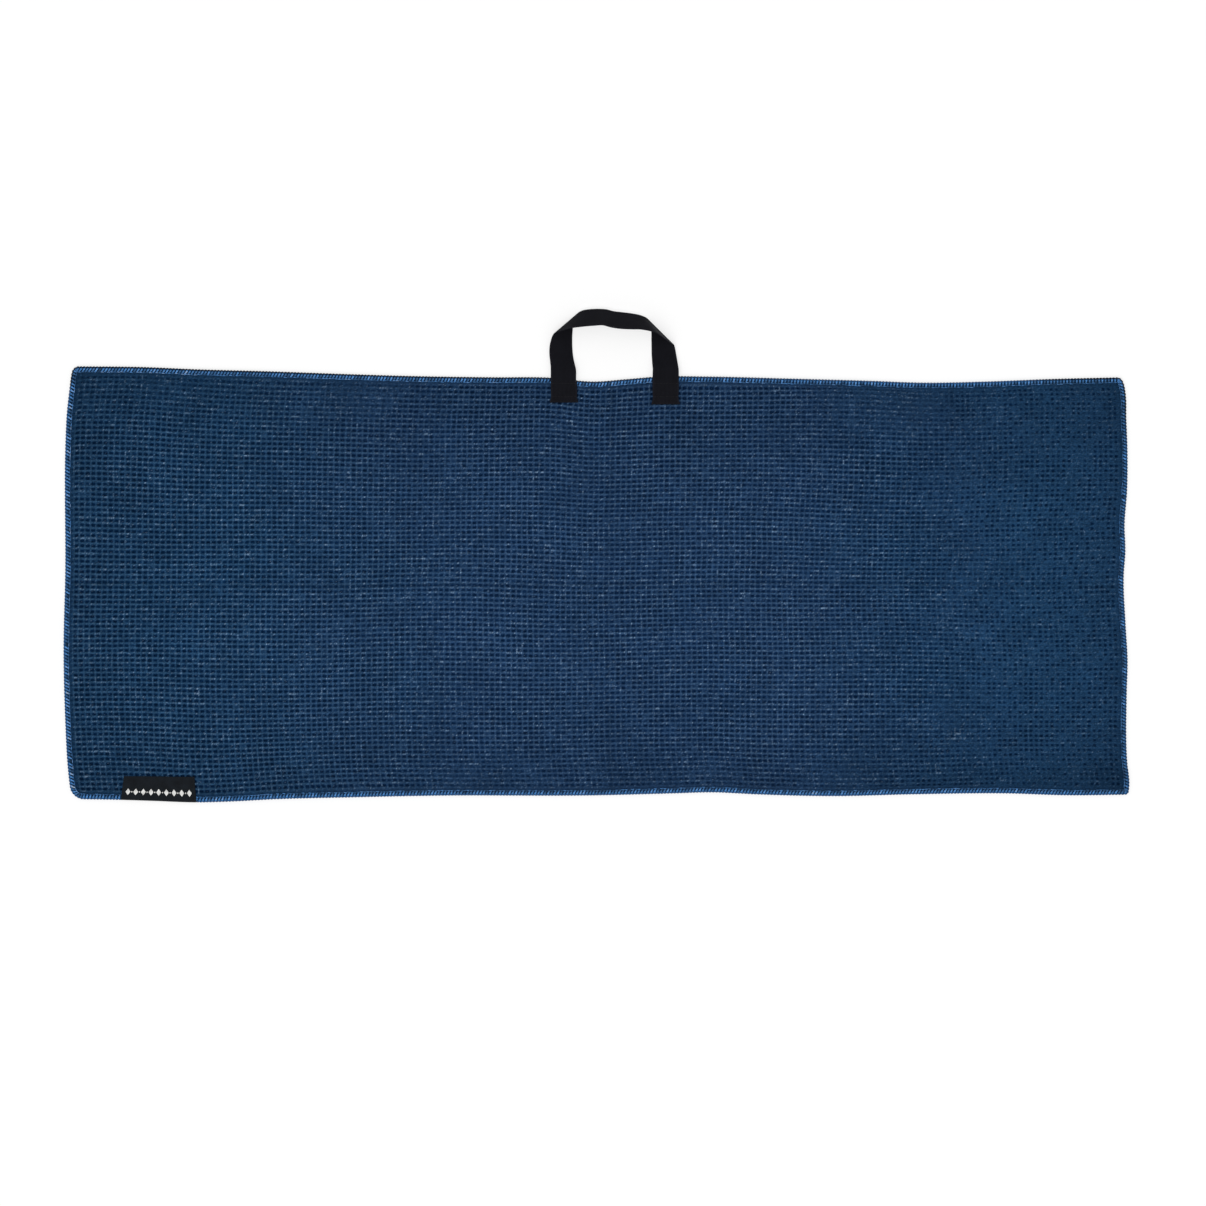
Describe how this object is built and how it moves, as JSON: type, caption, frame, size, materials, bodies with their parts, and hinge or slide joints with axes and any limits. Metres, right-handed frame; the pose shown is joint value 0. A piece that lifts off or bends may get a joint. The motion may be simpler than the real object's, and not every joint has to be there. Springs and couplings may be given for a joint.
{
  "type": "golf towel",
  "caption": "Large rectangular waffle-weave golf towel with overlocked edges, a flat webbing hanging loop at the middle of one long edge and a small woven label at a corner.",
  "frame": {"origin": "middle of the footprint, loop included, on the surface that the towel lies on", "axes": "+X along the long edges, +Y from the towel towards its hanging loop, +Z out of the front face"},
  "size_m": [1.016, 0.4728, 0.0247],
  "materials": {
    "waffle_cloth": "navy waffle-weave microfibre",
    "edging_thread": "royal blue overlock thread",
    "webbing": "black flat woven tape",
    "webbing_thread": "black sewing thread",
    "label_fabric": "black damask woven label with a plain pale woven motif",
    "label_thread": "black sewing thread"
  },
  "bodies": {
    "upper_half": {"cloth_upper_half": "waffle_cloth", "edging_front_thread_upper": "edging_thread", "edging_back_thread_upper": "edging_thread", "edging_needle_thread_upper": "edging_thread", "loop_end_left": "webbing", "loop_end_right": "webbing", "loop_left_edge_stitches": "webbing_thread", "loop_left_end_stitches": "webbing_thread", "loop_right_edge_stitches": "webbing_thread", "loop_right_end_stitches": "webbing_thread"},
    "lower_half": {"cloth_lower_half": "waffle_cloth", "edging_front_thread_lower": "edging_thread", "edging_back_thread_lower": "edging_thread", "edging_needle_thread_lower": "edging_thread", "woven_label": "label_fabric", "label_left_stitches": "label_thread", "label_right_stitches": "label_thread"},
    "loop": {"hanging_loop": "webbing"}
  },
  "joints": [
    {"name": "lengthwise_fold", "type": "hinge", "parent": "upper_half", "child": "lower_half", "pos_m": [0, -0.0331, 0.00375], "axis": [-1, 0, 0], "range_deg": [0, 180]},
    {"name": "loop_swing", "type": "hinge", "parent": "upper_half", "child": "loop", "pos_m": [0.0166, 0.1759, 0.00455], "axis": [1, 0, 0], "range_deg": [0, 145]}
  ]
}
